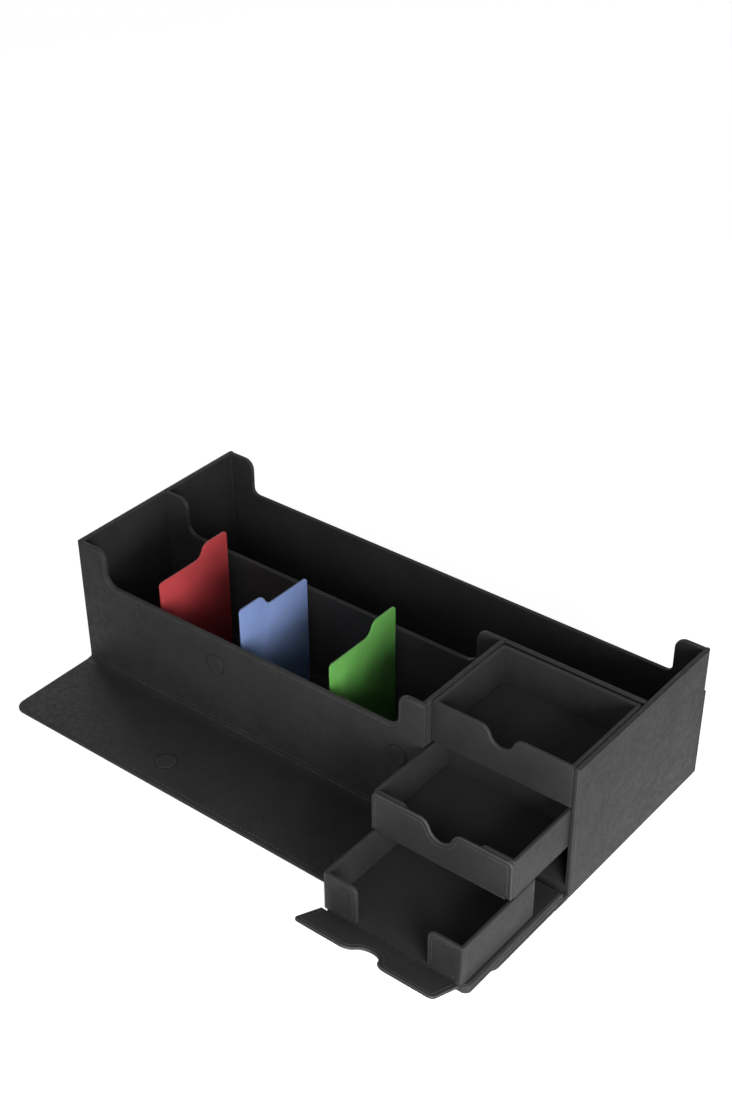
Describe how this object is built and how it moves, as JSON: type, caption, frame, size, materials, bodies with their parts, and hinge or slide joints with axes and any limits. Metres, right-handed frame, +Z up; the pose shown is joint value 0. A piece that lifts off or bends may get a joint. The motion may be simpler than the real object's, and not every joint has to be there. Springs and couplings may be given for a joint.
{
  "type": "trading card drawer box",
  "caption": "Leatherette trading card box with a divided card compartment, a bay of card drawers with drop fronts, a token tray and fold-down flaps.",
  "frame": {"origin": "middle of the case's footprint, on the face it stands on", "axes": "+X along the length towards the drawer bay, +Y from the front to the back, +Z up"},
  "size_m": [0.427, 0.3011, 0.107],
  "materials": {
    "case_leatherette": "matt, fine grained",
    "flap_leatherette": "matt, fine grained",
    "drawer_leatherette": "matt, fine grained",
    "shelf_board": "paper covered",
    "lining": "short napped microfibre",
    "hinge_cloth": "fine grained cloth",
    "magnet": "covered in leatherette",
    "red_tint": "clear tinted",
    "blue_tint": "clear tinted",
    "green_tint": "clear tinted"
  },
  "bodies": {
    "case": {"base_board": "case_leatherette", "left_end_wall": "case_leatherette", "right_end_wall": "case_leatherette", "front_wall": "case_leatherette", "back_wall": "case_leatherette", "back_panel": "case_leatherette", "long_divider": "case_leatherette", "bay_side_wall": "case_leatherette", "bay_floor": "case_leatherette", "drawer_shelf": "shelf_board", "tray_shelf": "shelf_board", "front_lining": "lining", "rear_lining": "lining", "front_flap_spine": "flap_leatherette", "wall_magnet_pads": "magnet", "bay_door": "flap_leatherette", "bay_door_hinge": "hinge_cloth"},
    "front_flap": {"front_flap": "flap_leatherette", "flap_magnet_pads": "magnet"},
    "upper_drawer": {"upper_drawer": "drawer_leatherette", "upper_drawer_lining": "lining", "upper_drawer_magnets": "magnet", "upper_drop_hinge": "hinge_cloth"},
    "upper_drop_front": {"upper_drop_front": "drawer_leatherette", "upper_drop_magnets": "magnet"},
    "lower_drawer": {"lower_drawer": "drawer_leatherette", "lower_drawer_lining": "lining", "lower_drawer_magnets": "magnet", "lower_drop_hinge": "hinge_cloth"},
    "lower_drop_front": {"lower_drop_front": "drawer_leatherette", "lower_drop_magnets": "magnet"},
    "token_tray": {"token_tray": "drawer_leatherette", "token_tray_lining": "lining"},
    "red_card_divider": {"red_card_divider": "red_tint"},
    "blue_card_divider": {"blue_card_divider": "blue_tint"},
    "green_card_divider": {"green_card_divider": "green_tint"}
  },
  "joints": [
    {"name": "front_flap_hinge", "type": "hinge", "parent": "case", "child": "front_flap", "pos_m": [0, -0.0848, 0.0016], "axis": [1, 0, 0], "range_deg": [0, 90]},
    {"name": "token_tray_slide", "type": "slide", "parent": "case", "child": "token_tray", "axis": [0, -1, 0], "range_m": [0, 0.079]},
    {"name": "upper_drawer_slide", "type": "slide", "parent": "case", "child": "upper_drawer", "axis": [0, -1, 0], "range_m": [-0.0625, 0.0508]},
    {"name": "lower_drawer_slide", "type": "slide", "parent": "case", "child": "lower_drawer", "axis": [0, -1, 0], "range_m": [-0.1133, 0]},
    {"name": "upper_drop_hinge", "type": "hinge", "parent": "upper_drawer", "child": "upper_drop_front", "pos_m": [0.1561, -0.1384, 0.0427], "axis": [1, 0, 0], "range_deg": [0, 90]},
    {"name": "lower_drop_hinge", "type": "hinge", "parent": "lower_drawer", "child": "lower_drop_front", "pos_m": [0.1561, -0.1892, 0.0106], "axis": [1, 0, 0], "range_deg": [-65, 25]},
    {"name": "red_card_divider_lift", "type": "slide", "parent": "case", "child": "red_card_divider", "axis": [0, 0, 1], "range_m": [0, 0.105]},
    {"name": "blue_card_divider_lift", "type": "slide", "parent": "case", "child": "blue_card_divider", "axis": [0, 0, 1], "range_m": [0, 0.105]},
    {"name": "green_card_divider_lift", "type": "slide", "parent": "case", "child": "green_card_divider", "axis": [0, 0, 1], "range_m": [0, 0.105]}
  ]
}
